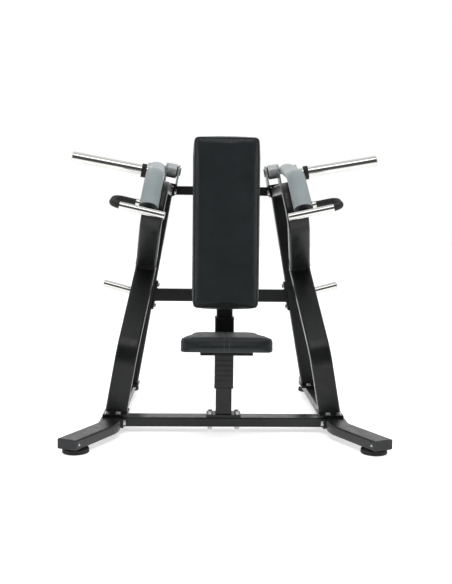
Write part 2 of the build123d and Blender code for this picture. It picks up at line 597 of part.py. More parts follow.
TRAY_T, TRAY_W, TRAY_SHEET, TRAY_Y = 14, 213, 4, (30, 290)
tray = block((-TRAY_W / 2, TRAY_W / 2), TRAY_Y, (-TRAY_T, 0))
tray -= block((TRAY_SHEET - TRAY_W / 2, TRAY_W / 2 - TRAY_SHEET),
              (TRAY_Y[0] + TRAY_SHEET, TRAY_Y[1] - TRAY_SHEET), (-TRAY_T, -TRAY_SHEET))
GUSSET_TOP, GUSSET_TIP, GUSSET_LOW, GUSSET_FRONT, GUSSET_T = 440, 385, 352, -560, 6
gusset_line = Polyline((0, SLEEVE_FRONT, GUSSET_TOP), (0, GUSSET_FRONT, GUSSET_TOP),
                       (0, GUSSET_FRONT, GUSSET_TIP), (0, SLEEVE_FRONT, GUSSET_LOW), close=True)
gussets = []
for x in (-34, 28):
    gusset = extrude(make_face(gusset_line), amount=GUSSET_T, dir=(1, 0, 0))
    gussets.append(Pos(x, 0, 0) * gusset)
carrier = seat_plane * tray
seat_under = seat_plane.from_local_coords((0, 0, -TRAY_SHEET))
for gusset in gussets:
    carrier += keep_above(gusset, seat_under, seat_plane.z_dir * -1)
carrier = keep_above(carrier, (0, SLEEVE_FRONT, 0), (0, -1, 0))
parts["seat_bracket"] = carrier

# ---------------------------------------------------------------- clamp knob
KNOB_X, KNOB_T, KNOB_R, LOBE_AT, LOBE_R, LOBES = SLEEVE_W / 2 + NUT_OUT + 2, 24, 17, 15, 7, 5
screw_end = KNOB_X + KNOB_T - 6
screw = rod((POST_W / 2 + GAP, BEAM_Y, KNOB_Z), (screw_end, BEAM_Y, KNOB_Z), SCREW_R)
parts["clamp_screw"] = screw
outline = Circle(KNOB_R)
for lobe in PolarLocations(LOBE_AT, LOBES):
    outline += lobe * Circle(LOBE_R)
knob = Plane(origin=(KNOB_X, BEAM_Y, KNOB_Z), z_dir=(1, 0, 0)) * extrude(outline, amount=KNOB_T)
knob = fillet(knob.edges().group_by(Axis.X)[-1], 3)
parts["clamp_knob"] = knob - screw

os.makedirs("parts", exist_ok=True)
for name, shape in parts.items():
    export_step(shape, f"parts/{name}.step")
print(len(parts), "nodes")
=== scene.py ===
"""Looks for the plate-loaded shoulder press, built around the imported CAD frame. Metres, +Z up."""

import json
import math

import bmesh
import bpy
from mathutils import Matrix, Vector
from mathutils.kdtree import KDTree


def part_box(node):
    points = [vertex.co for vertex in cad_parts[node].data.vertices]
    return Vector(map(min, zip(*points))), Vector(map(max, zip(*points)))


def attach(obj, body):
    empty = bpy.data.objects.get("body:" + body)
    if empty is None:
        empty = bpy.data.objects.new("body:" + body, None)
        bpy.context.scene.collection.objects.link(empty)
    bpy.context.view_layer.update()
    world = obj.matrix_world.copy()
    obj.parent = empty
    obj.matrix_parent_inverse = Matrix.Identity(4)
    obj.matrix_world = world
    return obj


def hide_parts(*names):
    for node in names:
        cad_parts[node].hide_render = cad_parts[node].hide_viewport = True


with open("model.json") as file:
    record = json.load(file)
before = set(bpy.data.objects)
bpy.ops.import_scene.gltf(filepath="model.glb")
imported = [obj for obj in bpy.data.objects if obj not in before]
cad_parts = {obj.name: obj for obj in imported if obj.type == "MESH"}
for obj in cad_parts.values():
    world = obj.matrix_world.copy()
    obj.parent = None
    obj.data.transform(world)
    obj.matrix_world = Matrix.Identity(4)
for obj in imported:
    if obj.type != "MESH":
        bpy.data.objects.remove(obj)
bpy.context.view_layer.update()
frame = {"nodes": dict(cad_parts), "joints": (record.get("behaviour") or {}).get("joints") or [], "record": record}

# ---------------------------------------------------------------- driving values
MM = 0.001
SIDES = {"left": -1, "right": 1}
MOUNTS = {mount["name"]: mount for mount in frame["record"]["mounts"]}
JOINTS = {joint["name"]: joint for joint in frame["joints"]}
SENSOR, LENS = 36.0, 51.719178    # mm; the sensor's size is along the picture's longer side
CAM_AT = Vector((-0.112, -3.94, 0.935))
CAM_YAW, CAM_PITCH, CAM_ROLL = math.radians(1.83), math.radians(4.9), math.radians(-0.67)

LEVEL = Vector((0, 0, 1))         # normal of a level cut through the frame
FORE_AFT = Vector((0, 1, 0))      # normal of a cut across the length of the machine


# ---------------------------------------------------------------- node helpers
class Shader:
    """A material's node tree, with short names for the few nodes used here."""

    def __init__(self, name, base, rough, metallic=0.0, **sockets):
        self.material = bpy.data.materials.new(name)
        self.material.use_nodes = True
        self.tree = self.material.node_tree
        self.bsdf = self.tree.nodes["Principled BSDF"]
        self.put("Base Color", (*base, 1.0))
        self.put("Roughness", rough)
        self.put("Metallic", metallic)
        for socket, value in sockets.items():
            self.put(socket.replace("_", " "), value)
        self.coords = self.add("ShaderNodeTexCoord").outputs["Object"]

    def put(self, socket, value):
        self.bsdf.inputs[socket].default_value = value

    def add(self, kind, **settings):
        node = self.tree.nodes.new(kind)
        for key, value in settings.items():
            setattr(node, key, value)
        return node

    def link(self, output, target):
        self.tree.links.new(output, target)

    def scaled(self, scale):
        """Object coordinates stretched by scale along each axis."""
        mapping = self.add("ShaderNodeMapping")
        mapping.inputs["Scale"].default_value = scale
        self.link(self.coords, mapping.inputs["Vector"])
        return mapping.outputs["Vector"]

    def noise(self, scale, detail=4.0, rough=0.55, vector=None):
        node = self.add("ShaderNodeTexNoise")
        node.inputs["Scale"].default_value = scale
        node.inputs["Detail"].default_value = detail
        node.inputs["Roughness"].default_value = rough
        self.link(vector or self.coords, node.inputs["Vector"])
        return node.outputs["Fac"]

    def cells(self, scale, feature="F1", vector=None):
        node = self.add("ShaderNodeTexVoronoi", feature=feature)
        node.inputs["Scale"].default_value = scale
        self.link(vector or self.coords, node.inputs["Vector"])
        return node.outputs["Distance"]

    def remap(self, value, low, high, start=0.3, end=0.7):
        node = self.add("ShaderNodeMapRange")
        for key, number in zip(("From Min", "From Max", "To Min", "To Max"), (start, end, low, high)):
            node.inputs[key].default_value = number
        self.link(value, node.inputs["Value"])
        return node.outputs["Result"]

    def blend(self, factor, first, second):
        node = self.add("ShaderNodeMix", data_type="RGBA")
        node.inputs["A"].default_value = (*first, 1.0)
        node.inputs["B"].default_value = (*second, 1.0)
        self.link(factor, node.inputs["Factor"])
        return node.outputs["Result"]

    def color(self, factor, first, second):
        self.link(self.blend(factor, first, second), self.bsdf.inputs["Base Color"])

    def rough(self, factor, low, high, start=0.3, end=0.7):
        self.link(self.remap(factor, low, high, start, end), self.bsdf.inputs["Roughness"])

    def bump(self, layers, edge=0.0):
        """Stacks bump layers of (height, strength, distance); edge rounds sharp corners."""
        normal = None
        if edge:
            soft = self.add("ShaderNodeBevel", samples=4)
            soft.inputs["Radius"].default_value = edge
            normal = soft.outputs["Normal"]
        for height, strength, distance in layers:
            node = self.add("ShaderNodeBump")
            node.inputs["Strength"].default_value = strength
            node.inputs["Distance"].default_value = distance
            self.link(height, node.inputs["Height"])
            if normal:
                self.link(normal, node.inputs["Normal"])
            normal = node.outputs["Normal"]
        self.link(normal, self.bsdf.inputs["Normal"])


# ---------------------------------------------------------------- materials
def powder_coat(name, dark, light, low, high, **sockets):
    """Sprayed paint: a faint orange peel, slow colour drift and a little handling dust."""
    s = Shader(name, dark, low, **sockets)
    drift = s.noise(5.0, 3.0)
    s.color(s.remap(drift, 0.0, 1.0, 0.35, 0.65), dark, light)
    s.rough(s.noise(26.0, 5.0), low, high)
    peel = s.noise(420.0, 2.0)
    speck = s.cells(900.0)
    s.bump([(peel, 0.22, 0.25 * MM), (speck, 0.08, 0.12 * MM)], edge=1.3 * MM)
    return s.material


def polished_chrome(name):
    s = Shader(name, (0.64, 0.64, 0.62), 0.08, metallic=1.0)
    rub = s.noise(14.0, 6.0, 0.7)
    s.color(s.remap(rub, 0.0, 1.0), (0.59, 0.59, 0.565), (0.70, 0.70, 0.68))
    s.rough(rub, 0.05, 0.17)
    fine = s.noise(260.0, 3.0, vector=s.scaled((1.0, 9.0, 9.0)))
    s.bump([(fine, 0.03, 0.08 * MM)], edge=0.8 * MM)
    return s.material


def bare_steel(name, base, low, high):
    s = Shader(name, base, low, metallic=1.0)
    rub = s.noise(90.0, 5.0)
    s.color(s.remap(rub, 0.0, 1.0), tuple(0.8 * c for c in base), base)
    s.rough(rub, low, high)
    s.bump([(s.noise(700.0, 2.0), 0.1, 0.08 * MM)], edge=0.6 * MM)
    return s.material


def moulded_rubber(name, base=(0.0125, 0.013, 0.0136)):
    s = Shader(name, base, 0.7, Specular_IOR_Level=0.35)
    dust = s.noise(38.0, 6.0, 0.65)
    s.color(s.remap(dust, 0.0, 1.0, 0.4, 0.75), base, tuple(2.2 * c for c in base))
    s.rough(dust, 0.58, 0.85)
    s.bump([(s.noise(650.0, 4.0), 0.35, 0.25 * MM)], edge=1.0 * MM)
    return s.material


def moulded_plastic(name, base=(0.014, 0.0147, 0.016)):
    s = Shader(name, base, 0.45, Specular_IOR_Level=0.35)
    s.color(s.remap(s.noise(20.0, 4.0), 0.0, 1.0), base, tuple(1.6 * c for c in base))
    s.rough(s.noise(60.0, 4.0), 0.38, 0.58)
    s.bump([(s.cells(750.0), 0.2, 0.15 * MM)], edge=1.0 * MM)
    return s.material


def vinyl(name, dark, light):
    """Upholstery vinyl: pebbled grain, soft creases and slight unevenness of shade."""
    s = Shader(name, dark, 0.45, Specular_IOR_Level=0.3, Sheen_Weight=0.06, Sheen_Roughness=0.5)
    drift = s.noise(7.0, 4.0)
    s.color(s.remap(drift, 0.0, 1.0, 0.35, 0.7), dark, light)
    s.rough(s.noise(45.0, 5.0), 0.36, 0.54)
    wander = s.noise(160.0, 3.0)
    grain = s.cells(620.0, "SMOOTH_F1")
    pebble = s.cells(1150.0)
    s.bump([(wander, 0.15, 0.5 * MM), (grain, 0.55, 0.35 * MM), (pebble, 0.3, 0.18 * MM)])
    return s.material


def thread(name, base):
    s = Shader(name, base, 0.8, Sheen_Weight=0.3)
    s.color(s.noise(300.0, 2.0), base, tuple(1.5 * c for c in base))
    s.bump([(s.noise(2600.0, 2.0), 0.5, 0.1 * MM)])
    return s.material


def plywood(name):
    s = Shader(name, (0.36, 0.25, 0.15), 0.7)
    grain = s.noise(30.0, 6.0, 0.6, vector=s.scaled((9.0, 9.0, 1.0)))
    s.color(s.remap(grain, 0.0, 1.0), (0.30, 0.20, 0.12), (0.47, 0.35, 0.22))
    s.bump([(grain, 0.25, 0.3 * MM)])
    return s.material


BLACK = powder_coat("frame_black", (0.0065, 0.007, 0.0075), (0.0095, 0.0102, 0.0108), 0.26, 0.4,
                    Specular_IOR_Level=0.33, Coat_Weight=0.08, Coat_Roughness=0.2)
SILVER = powder_coat("arm_silver", (0.245, 0.287, 0.295), (0.29, 0.332, 0.34), 0.3, 0.44,
                     Metallic=0.35)
AXLE = powder_coat("axle_silver", (0.40, 0.42, 0.42), (0.47, 0.49, 0.49), 0.32, 0.42, Metallic=0.4)
CHROME = polished_chrome("chrome")
ZINC = bare_steel("zinc", (0.66, 0.66, 0.64), 0.26, 0.4)
BRONZE = bare_steel("bronze", (0.55, 0.38, 0.2), 0.3, 0.45)
RUBBER = moulded_rubber("rubber")
PLASTIC = moulded_plastic("plastic")
VINYL = vinyl("vinyl", (0.0105, 0.0136, 0.0148), (0.0165, 0.0202, 0.022))
PIPING = vinyl("piping_vinyl", (0.018, 0.021, 0.022), (0.026, 0.029, 0.030))
THREAD = thread("thread", (0.055, 0.06, 0.06))
SEAM_THREAD = thread("seam_thread", (0.16, 0.15, 0.10))
PLY = plywood("plywood")

SLOT_MATERIALS = {"frame_paint": BLACK, "arm_paint": SILVER, "axle_steel": AXLE, "chrome": CHROME,
                  "rubber": RUBBER, "black_plastic": PLASTIC, "bolt_steel": ZINC,
                  "bronze": BRONZE, "upholstery": VINYL, "plywood": PLY}
for entry in frame["record"]["subparts"]:
    node = frame["nodes"][entry["node"]]
    node.data.materials.clear()
    node.data.materials.append(SLOT_MATERIALS[entry["material_slot"]])


# ---------------------------------------------------------------- mesh helpers
CORNER_SHARE = 0.45               # most of an edge that one rounded corner may take
WELD_PITCH = 3.2 * MM
WELD_RIPPLE, WELD_WAVE = 0.16, 2.4


def finish_piece(obj, body, material, smooth=True):
    """Gives a mesh its material and its body, and smooths its faces unless told not to."""
    obj.data.materials.clear()
    obj.data.materials.append(material)
    if smooth:
        for polygon in obj.data.polygons:
            polygon.use_smooth = True
    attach(obj, body)
    return obj


def mesh_object(name, vertices, faces):
    mesh = bpy.data.meshes.new(name)
    mesh.from_pydata([tuple(v) for v in vertices], [], faces)
    mesh.update()
    obj = bpy.data.objects.new(name, mesh)
    bpy.context.scene.collection.objects.link(obj)
    return obj


def from_bmesh(name, bm):
    mesh = bpy.data.meshes.new(name)
    bmesh.ops.recalc_face_normals(bm, faces=bm.faces)
    bm.to_mesh(mesh)
    bm.free()
    obj = bpy.data.objects.new(name, mesh)
    bpy.context.scene.collection.objects.link(obj)
    return obj


def across(direction):
    """Two unit vectors square to a direction."""
    helper = Vector((0, 0, 1)) if abs(direction.z) < 0.9 else Vector((1, 0, 0))
    first = direction.cross(helper).normalized()
    return first, direction.cross(first).normalized()


def lathe(name, origin, direction, profile, segments=56):
    """Turned piece from (distance along, radius) pairs; ends with radius 0 are closed."""
    direction = direction.normalized()
    u, v = across(direction)
    vertices, faces, rings = [], [], []
    for along, radius in profile:
        centre = origin + direction * along
        if radius == 0:
            rings.append([len(vertices)])
            vertices.append(centre)
            continue
        rings.append(range(len(vertices), len(vertices) + segments))
        for i in range(segments):
            angle = 2 * math.pi * i / segments
            vertices.append(centre + u * math.cos(angle) * radius + v * math.sin(angle) * radius)
    for low, high in zip(rings, rings[1:]):
        for i in range(segments):
            j = (i + 1) % segments
            if len(low) == 1:
                faces.append((low[0], high[j], high[i]))
            elif len(high) == 1:
                faces.append((low[i], low[j], high[0]))
            else:
                faces.append((low[i], low[j], high[j], high[i]))
    obj = mesh_object(name, vertices, faces)
    bm = bmesh.new()
    bm.from_mesh(obj.data)
    bmesh.ops.recalc_face_normals(bm, faces=bm.faces)
    bm.to_mesh(obj.data)
    bm.free()
    return obj


def corner_arc(before, corner, after, radius, steps):
    """Points of a short curve that rounds one corner of a 2-D line."""
    b, c, a = Vector(before), Vector(corner), Vector(after)
    reach = min(radius, (b - c).length * CORNER_SHARE, (a - c).length * CORNER_SHARE)
    start, end = c + (b - c).normalized() * reach, c + (a - c).normalized() * reach
    for i in range(steps + 1):
        t = i / steps
        yield tuple(start * (1 - t) ** 2 + c * 2 * t * (1 - t) + end * t * t)


def rounded(points, radius, steps=5):
    """Open profile with its inner corners rounded."""
    result = [points[0]]
    for before, corner, after in zip(points, points[1:], points[2:]):
        result.extend(corner_arc(before, corner, after, radius, steps))
    return result + [points[-1]]


def rounded_outline(corners, radius, steps=8):
    """Closed outline with all its corners rounded."""
    result = []
    for i, corner in enumerate(corners):
        after = corners[(i + 1) % len(corners)]
        result.extend(corner_arc(corners[i - 1], corner, after, radius, steps))
    return result


def resample(points, spacing, closed=True):
    """Evenly spaced points along a polyline."""
    ends = points + [points[0]] if closed else points
    lengths = [(b - a).length for a, b in zip(ends, ends[1:])]
    total = sum(lengths)
    count = max(8, round(total / spacing))
    step = total / count
    result, index, walked = [], 0, 0.0
    for k in range(count if closed else count + 1):
        target = min(k * step, total)
        while index < len(lengths) - 1 and walked + lengths[index] < target:
            walked += lengths[index]
            index += 1
        t = (target - walked) / lengths[index] if lengths[index] else 0.0
        result.append(ends[index].lerp(ends[index + 1], min(max(t, 0.0), 1.0)))
    return result


def tube_along(name, points, radii, closed=True, sides=8):
    """Round tube through points, with a radius for each of them."""
    count = len(points)
    vertices, faces = [], []
    normal = None
    for i, (point, radius) in enumerate(zip(points, radii)):
        before = points[i - 1] if i or closed else point
        after = points[(i + 1) % count] if i < count - 1 or closed else point
        tangent = (after - before).normalized()
        if normal is None:
            normal = across(tangent)[0]
        normal = (normal - tangent * normal.dot(tangent)).normalized()
        binormal = tangent.cross(normal)
        for k in range(sides):
            angle = 2 * math.pi * k / sides
            vertices.append(point + (normal * math.cos(angle) + binormal * math.sin(angle)) * radius)
    for i in range(count if closed else count - 1):
        j = (i + 1) % count
        for k in range(sides):
            m = (k + 1) % sides
            faces.append((i * sides + k, i * sides + m, j * sides + m, j * sides + k))
    if not closed:
        faces.append(tuple(reversed(range(sides))))
        faces.append(tuple(range((count - 1) * sides, count * sides)))
    return mesh_object(name, vertices, faces)


def run_length(points):
    return sum((b - a).length for a, b in zip(points, points[1:]))


def cut_loop(node, point, normal):
    """Outline of a CAD node where a plane cuts it: the longest closed loop."""
    bm = bmesh.new()
    bm.from_mesh(frame["nodes"][node].data)
    bmesh.ops.remove_doubles(bm, verts=bm.verts, dist=0.01 * MM)
    geometry = bm.verts[:] + bm.edges[:] + bm.faces[:]
    cut = bmesh.ops.bisect_plane(bm, geom=geometry, plane_co=point, plane_no=normal)["geom_cut"]
    edges = [e for e in cut if isinstance(e, bmesh.types.BMEdge)]   # in the same order every run
    loops = []
    while edges:
        chain = list(edges.pop(0).verts)
        growing = True
        while growing:
            growing = False
            for other in chain[-1].link_edges:
                if other in edges:
                    edges.remove(other)
                    chain.append(other.other_vert(chain[-1]))
                    growing = True
                    break
        loops.append([v.co.copy() for v in chain])
    bm.free()
    best = max(loops, key=run_length, default=[])
    return best[:-1] if best and (best[0] - best[-1]).length < 1e-6 else best


def weld(name, node, point, normal, radius=2.6 * MM):
    """Rippled weld bead round a tube of the frame where it meets its neighbour."""
    loop = cut_loop(node, point, normal)
    if len(loop) < 3:
        raise ValueError(f"no outline for {name}")
    line = resample(loop, WELD_PITCH)
    radii = [radius * (1 + WELD_RIPPLE * math.sin(i * WELD_WAVE)) for i in range(len(line))]
    return finish_piece(tube_along(name, line, radii), "frame", BLACK)


def button_screw(name, origin, direction, radius, body):
    """Low domed screw with a hexagon socket."""
    height = radius * 0.62
    profile = [(0, radius), (height * 0.35, radius), (height * 0.75, radius * 0.86),
               (height, radius * 0.6), (height, radius * 0.36), (height * 0.3, radius * 0.3),
               (height * 0.3, 0)]
    screw = lathe(name, origin, direction, profile, 24)
    return finish_piece(screw, body, ZINC)


# ---------------------------------------------------------------- side frame directions
PIVOT_S = 1.205                   # the pivot's distance up the leaning plane


def side_axes(side):
    """Pivot, outward normal and up direction of a leaning side frame."""
    joint = JOINTS[f"{side}_arm_press"]
    sign = SIDES[side]
    outward = Vector(joint["axis"]) * -sign
    outward.normalize()
    up = Vector((-outward.z * sign, 0, abs(outward.x)))
    return Vector(joint["pos_m"]), outward, up


def in_lean(side, y, s, a):
    """World point of the leaning plane's coordinates (y, s, a), measured from the pivot."""
    pivot, outward, up = side_axes(side)
    return Vector((pivot.x, 0, pivot.z)) + Vector((0, y, 0)) + up * (s - PIVOT_S) + outward * a


# ---------------------------------------------------------------- cushions
VOXEL = 5 * MM
SWELL = 5 * MM                    # how far a cushion may swell past its starting shape
SWELL_ROOM = SWELL * 0.55         # how much smaller it starts, to end near the CAD's size
HELD_DEPTH = 9 * MM               # the part next to the board that doesn't swell
CLOTH_STEPS = 20
CUSHION_EDGE = 10 * MM
PIPING_R, PIPING_INSET = 2.4 * MM, 9 * MM
SEAM_LIFT = 0.1 * MM
STITCH_PITCH, STITCH_LENGTH, STITCH_R = 5.2 * MM, 3.6 * MM, 0.45 * MM
PAD_RECLINE, PAD_T, PAD_CORNER_R = math.radians(3.0), 62 * MM, 22 * MM
PAD_SEAM_INSET, PAD_SEAM_R = 15 * MM, 18 * MM
SEAT_TILT, SEAT_T, SEAT_CORNER_R = math.radians(3.0), 58 * MM, 30 * MM
SEAT_LENGTH, SEAT_STRAIGHT, SEAT_REAR_HALF = 328 * MM, 70 * MM, 138 * MM
SEAT_SEAM_X = 11 * MM


def outline_block(name, outline, thickness, place, edge):
    """Closed block over a 2-D outline with rounded front edges, in the frame place."""
    bm = bmesh.new()
    base = [bm.verts.new((x, y, 0)) for x, y in outline]
    face = bm.faces.new(base)
    made = bmesh.ops.extrude_face_region(bm, geom=[face])["geom"]
    top = [v for v in made if isinstance(v, bmesh.types.BMVert)]
    bmesh.ops.translate(bm, verts=top, vec=(0, 0, thickness))
    top_set = set(top)
    rim = [e for e in bm.edges if e.verts[0] in top_set and e.verts[1] in top_set]
    bmesh.ops.bevel(bm, geom=rim, offset=edge, segments=4, affect="EDGES", profile=0.5)
    bmesh.ops.triangulate(bm, faces=[f for f in bm.faces if len(f.verts) > 4])
    bmesh.ops.transform(bm, matrix=place, verts=bm.verts)
    return from_bmesh(name, bm)


def apply_modifiers(obj):
    """Replaces a mesh by what its modifiers make of it."""
    depsgraph = bpy.context.evaluated_depsgraph_get()
    mesh = bpy.data.meshes.new_from_object(obj.evaluated_get(depsgraph))
    old = obj.data
    obj.modifiers.clear()
    obj.data = mesh
    bpy.data.meshes.remove(old)


def swell(obj, back, normal):
    """Inflates a cushion with a short cloth run; its back face stays on the board."""
    remesh = obj.modifiers.new("remesh", "REMESH")
    remesh.mode = "VOXEL"
    remesh.voxel_size = VOXEL
    apply_modifiers(obj)
    start = [v.co.copy() for v in obj.data.vertices]
    held = obj.vertex_groups.new(name="held")
    held.add([i for i, co in enumerate(start) if (co - back).dot(normal) < HELD_DEPTH], 1.0, "REPLACE")
    cloth = obj.modifiers.new("cloth", "CLOTH")
    cloth.settings.quality = 4
    cloth.settings.mass = 0.4
    cloth.settings.tension_stiffness = 25
    cloth.settings.compression_stiffness = 25
    cloth.settings.bending_stiffness = 3.0
    cloth.settings.use_pressure = True
    cloth.settings.uniform_pressure_force = 2.2
    cloth.settings.vertex_group_mass = "held"
    cloth.settings.effector_weights.gravity = 0.0
    cloth.collision_settings.use_collision = False
    for number in range(1, CLOTH_STEPS + 1):
        bpy.context.scene.frame_set(number)
    apply_modifiers(obj)
    for vertex, rest in zip(obj.data.vertices, start):
        move = vertex.co - rest
        if move.length > SWELL:
            vertex.co = rest + move * (SWELL / move.length)
    obj.vertex_groups.clear()
    smooth = obj.modifiers.new("smooth", "SMOOTH")
    smooth.factor = 0.5
    smooth.iterations = 4
    subdivide = obj.modifiers.new("subdivide", "SUBSURF")
    subdivide.levels = subdivide.render_levels = 1
    apply_modifiers(obj)


def snap(obj, points, direction, lift):
    """Points moved onto a mesh along a direction, then lifted off it by lift."""
    above = 0.08
    obj.data.update()
    result = []
    for point in points:
        hit, place, surface, _ = obj.ray_cast(point + direction * above, -direction)
        result.append((place + surface * lift) if hit else point)
    return result


def press_in(obj, points, direction, width, depth):
    """Pulls the surface in along a seam, with a smooth falloff."""
    tree = KDTree(len(points))
    for i, point in enumerate(points):
        tree.insert(point, i)
    tree.balance()
    for vertex in obj.data.vertices:
        distance = tree.find(vertex.co)[2]
        if distance < width:
            t = distance / width
            vertex.co -= direction * depth * (1 - t * t) ** 2


def stitches(name, points, direction, body, material):
    """Short thread stitches along a line, joined as one piece."""
    sides = 6
    shape = ((-0.5, -0.5, 0.5), (-0.3, 0.55, 1.0), (0.0, 0.8, 1.0), (0.3, 0.55, 1.0), (0.5, -0.5, 0.5))
    turns = [k * math.pi / 3 for k in range(sides)]
    line = resample(points, STITCH_PITCH, closed=False)
    bm = bmesh.new()
    for a, b in zip(line, line[1:]):
        along = (b - a).normalized()
        middle = (a + b) / 2
        side = along.cross(direction).normalized()
        rings = []
        for t, lift, thick in shape:
            centre = middle + along * STITCH_LENGTH * t + direction * STITCH_R * lift
            rings.append([bm.verts.new(centre + (side * math.cos(turn) + direction * math.sin(turn))
                                       * STITCH_R * thick) for turn in turns])
        for low, high in zip(rings, rings[1:]):
            for k in range(sides):
                m = (k + 1) % sides
                bm.faces.new((low[k], low[m], high[m], high[k]))
        bm.faces.new(rings[0])
        bm.faces.new(rings[-1])
    return finish_piece(from_bmesh(name, bm), body, material)


def drawn_in(outline, amount):
    """Outline with each point moved towards the middle by amount, across and along."""
    centre = Vector((sum(p[0] for p in outline) / len(outline), sum(p[1] for p in outline) / len(outline)))
    result = []
    for x, y in outline:
        offset = Vector((x, y)) - centre
        result.append(centre + offset - Vector((math.copysign(amount, offset.x),
                                                math.copysign(amount, offset.y))))
    return result


def cushion(name, node, body, outline, thickness, place):
    """Upholstered pad over an outline: swollen body and piping round its front."""
    normal = (place.to_3x3() @ Vector((0, 0, 1))).normalized()
    pad = outline_block(name, drawn_in(outline, SWELL_ROOM), thickness - SWELL_ROOM, place, CUSHION_EDGE)
    swell(pad, place.translation.copy(), normal)
    rim_line = [place @ Vector((p.x, p.y, thickness)) for p in drawn_in(outline, PIPING_INSET)]
    rim_line = resample(rim_line, 4 * MM)
    press_in(pad, snap(pad, rim_line, normal, 0), normal, 7 * MM, 1.6 * MM)
    rim_line = snap(pad, rim_line, normal, PIPING_R * 0.35)
    piping = tube_along(f"{name}_piping", rim_line, [PIPING_R] * len(rim_line))
    finish_piece(piping, body, PIPING)
    finish_piece(pad, body, VINYL)
    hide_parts(node)
    return pad, normal


def back_cushion():
    """Back pad leaning on its board, with a row of stitches inside the piping."""
    low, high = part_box("back_pad")
    board_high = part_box("back_board")[1]
    tilt = PAD_RECLINE
    up = Vector((0, math.sin(tilt), math.cos(tilt)))
    forward = Vector((0, -math.cos(tilt), math.sin(tilt)))
    height = (high.z - low.z - PAD_T * math.sin(tilt)) / math.cos(tilt)
    place = Matrix((Vector((1, 0, 0)), up, forward)).transposed().to_4x4()
    place.translation = Vector((0, board_high.y - (board_high.z - low.z) * math.tan(tilt), low.z))
    width = high.x - low.x
    half = width / 2
    outline = rounded_outline([(-half, 0), (half, 0), (half, height), (-half, height)], PAD_CORNER_R)
    pad, normal = cushion("back_cushion", "back_pad", "frame", outline, PAD_T, place)
    bottom, top = PAD_SEAM_INSET, height - PAD_SEAM_INSET
    edge_x = half - PAD_SEAM_INSET
    seam = [(-edge_x, bottom), (edge_x, bottom), (edge_x, top), (-edge_x, top)]
    ring = [place @ Vector((x, y, PAD_T)) for x, y in rounded_outline(seam, PAD_SEAM_R)]
    ring = snap(pad, resample(ring, 5 * MM), normal, SEAM_LIFT)
    stitches("back_stitches", ring + [ring[0]], normal, "frame", THREAD)


def seat_cushion():
    """Seat that narrows to the rear, with a double seam over its top and down its front."""
    low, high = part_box("seat_pad")
    tilt = SEAT_TILT
    back = Vector((0, math.cos(tilt), -math.sin(tilt)))
    forward = -back
    upward = Vector((0, math.sin(tilt), math.cos(tilt)))
    place = Matrix((Vector((1, 0, 0)), back, upward)).transposed().to_4x4()
    place.translation = Vector((0, low.y, low.z + SEAT_LENGTH * math.sin(tilt)))
    front, rear = (high.x - low.x) / 2, SEAT_REAR_HALF
    corners = [(-front, 0), (front, 0), (front, SEAT_STRAIGHT), (rear, SEAT_LENGTH),
               (-rear, SEAT_LENGTH), (-front, SEAT_STRAIGHT)]
    outline = rounded_outline(corners, SEAT_CORNER_R)
    pad, normal = cushion("seat_cushion", "seat_pad", "seat_carriage", outline, SEAT_T, place)
    for i, x in enumerate((-SEAT_SEAM_X, SEAT_SEAM_X)):
        line = [place @ Vector((x, y, SEAT_T + 10 * MM)) for y in (20 * MM, 308 * MM)]
        line = snap(pad, resample(line, 5 * MM, closed=False), normal, SEAM_LIFT)
        press_in(pad, line, normal, 4 * MM, 0.8 * MM)
        line = snap(pad, line, normal, SEAM_LIFT)
        stitches(f"seat_seam_{i}", line, normal, "seat_carriage", SEAM_THREAD)
        drop = [place @ Vector((x, -10 * MM, z)) for z in (8 * MM, 50 * MM)]
        drop = snap(pad, resample(drop, 4 * MM, closed=False), forward, SEAM_LIFT)
        stitches(f"seat_front_seam_{i}", drop, forward, "seat_carriage", SEAM_THREAD)


back_cushion()
seat_cushion()


# ---------------------------------------------------------------- feet, horns and handles
def rubber_foot(node):
    """Turned rubber foot with a groove round its tread and a narrower neck."""
    low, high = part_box(node)
    centre = Vector(((low.x + high.x) / 2, (low.y + high.y) / 2, 0))
    radius = (high.x - low.x) / 2
    height = high.z - low.z
    tread = height * 0.75
    chamfer, groove = 3 * MM, 1.8 * MM
    profile = rounded([(0, 0), (0, radius - chamfer), (chamfer, radius), (tread * 0.42, radius),
                       (tread * 0.5, radius - groove), (tread * 0.58, radius),
                       (tread, radius - 1 * MM), (tread, radius * 0.74),
                       (height, radius * 0.7), (height, 0)], 1.6 * MM)
    foot = lathe(f"{node}_rubber", centre, Vector((0, 0, 1)), profile, 72)
    finish_piece(foot, "frame", RUBBER)
    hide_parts(node)


def horn_details(side):
    """Rounded rubber collar and dished end cap on a weight horn."""
    mount = MOUNTS[f"weight_horn_{side}"]
    out = Vector(mount["axis"]).normalized()
    at = Vector(mount["pos_m"])
    reach = mount["dims"]["length_mm"] * MM
    low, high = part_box(f"horn_collar_{side}")
    middle = (low + high) / 2
    middle = at + out * (middle - at).dot(out)
    bore, rim, half = 26.9 * MM, 31 * MM, 11 * MM
    profile = rounded([(-half, bore), (-half, rim), (half, rim), (half, bore)], 4 * MM)
    profile.append((-half, bore))
    collar = lathe(f"horn_collar_rubber_{side}", middle, out, profile)
    finish_piece(collar, f"{side}_arm", RUBBER)
    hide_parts(f"horn_collar_{side}")
    face, dish = 0.35 * MM, -0.3 * MM
    profile = [(-0.4 * MM, 16 * MM), (face, 16 * MM), (face, 8 * MM), (dish, 6 * MM), (dish, 0)]
    cap = lathe(f"horn_end_{side}", at + out * (reach / 2 + 3 * MM), out, profile, 40)
    finish_piece(cap, f"{side}_arm", CHROME)


